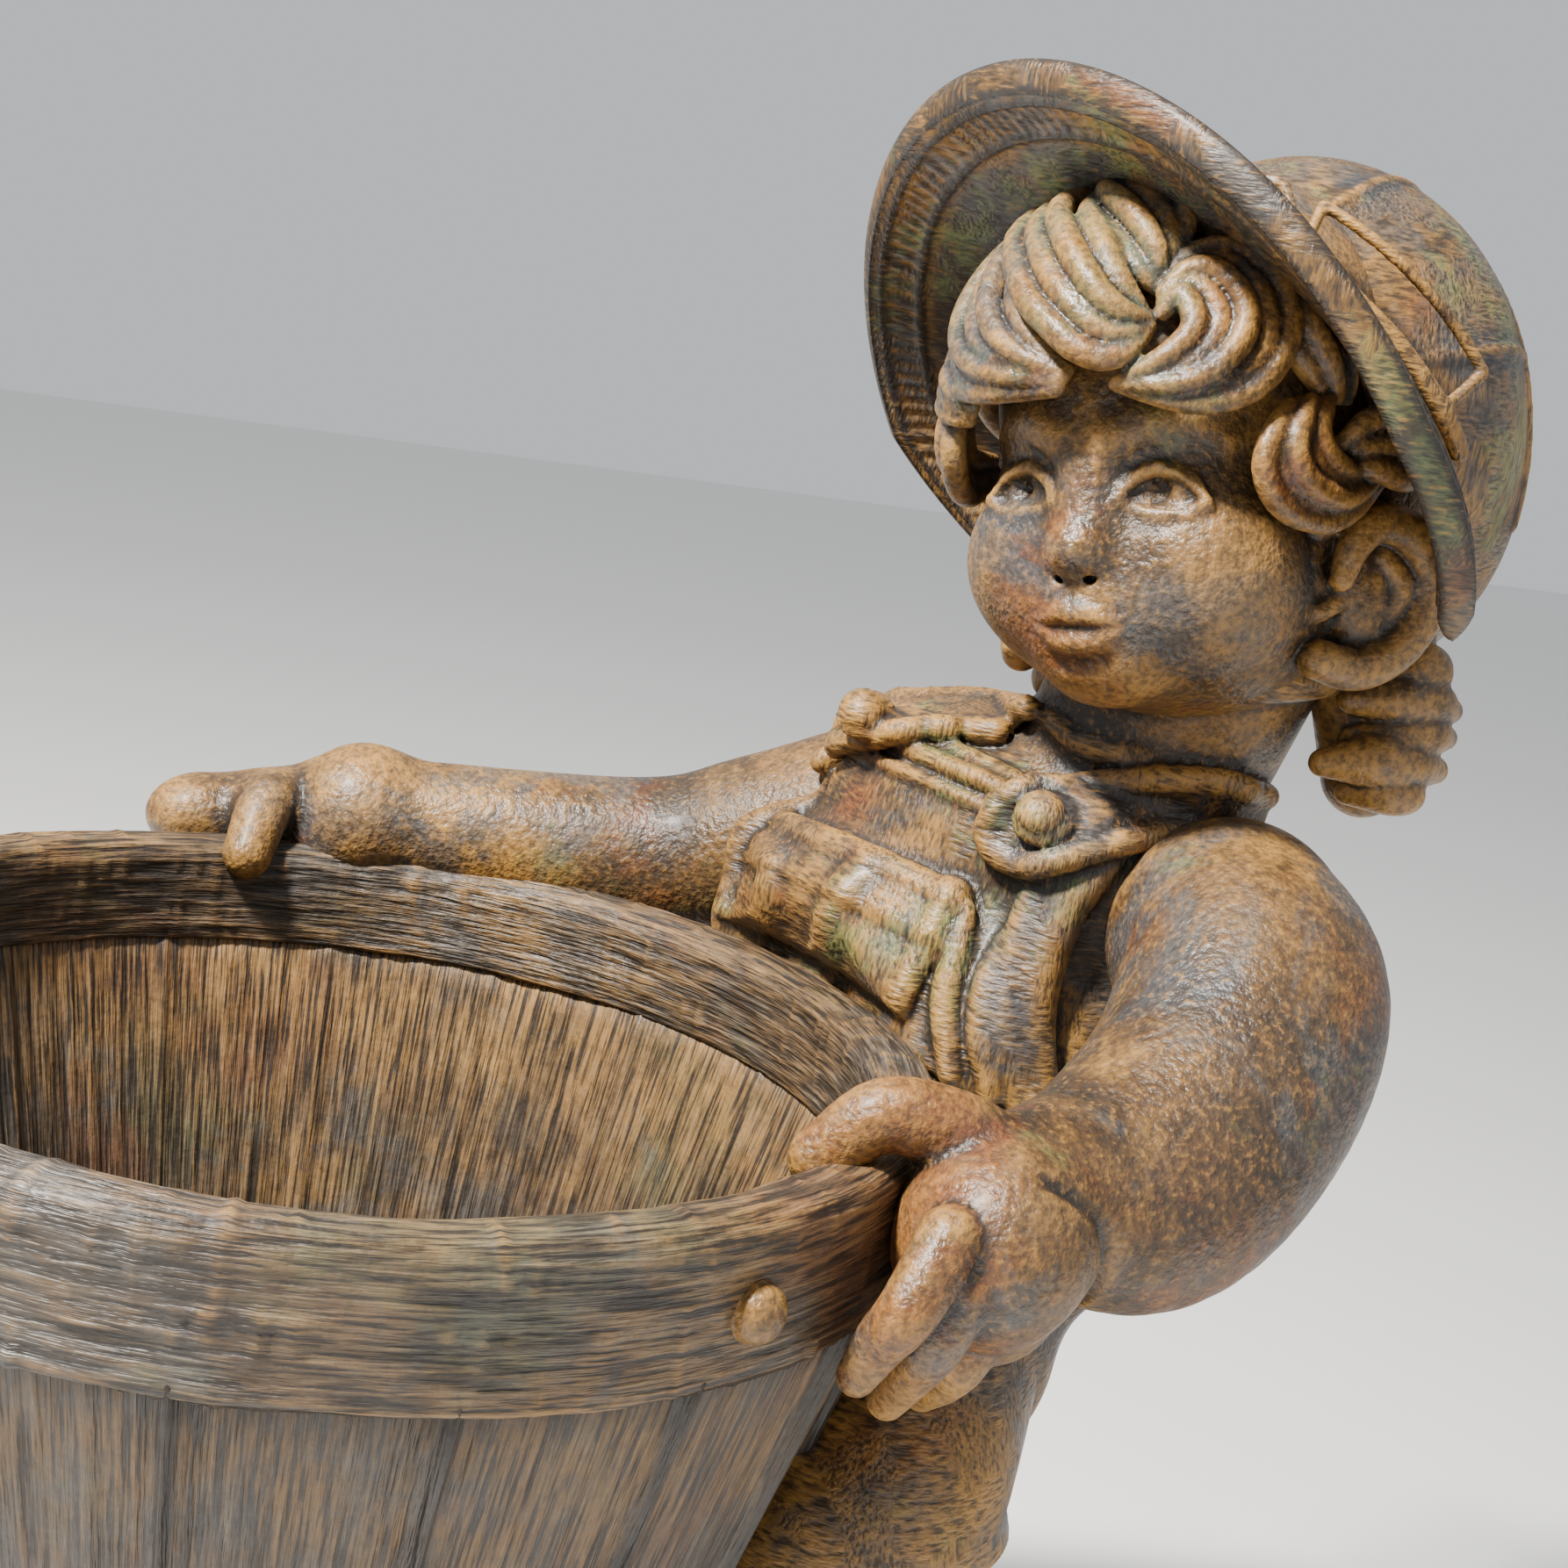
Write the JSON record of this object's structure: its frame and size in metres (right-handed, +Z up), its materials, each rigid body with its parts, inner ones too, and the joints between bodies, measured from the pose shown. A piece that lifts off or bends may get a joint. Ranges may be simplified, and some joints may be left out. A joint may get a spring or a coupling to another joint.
{
  "type": "garden statue planter",
  "caption": "Cast-stone garden planter: a toddler in overalls and a wide-brimmed cap leans back and hugs an empty stave tub.",
  "frame": {"origin": "middle of the underside of the low oval base", "axes": "+Z up; the child faces -Y over the tub; the child's left is +X"},
  "size_m": [0.4217, 0.577, 0.692],
  "materials": {
    "stained_cast_stone": null
  },
  "bodies": {
    "root": {"boy_and_tub_planter": "stained_cast_stone"}
  },
  "joints": []
}
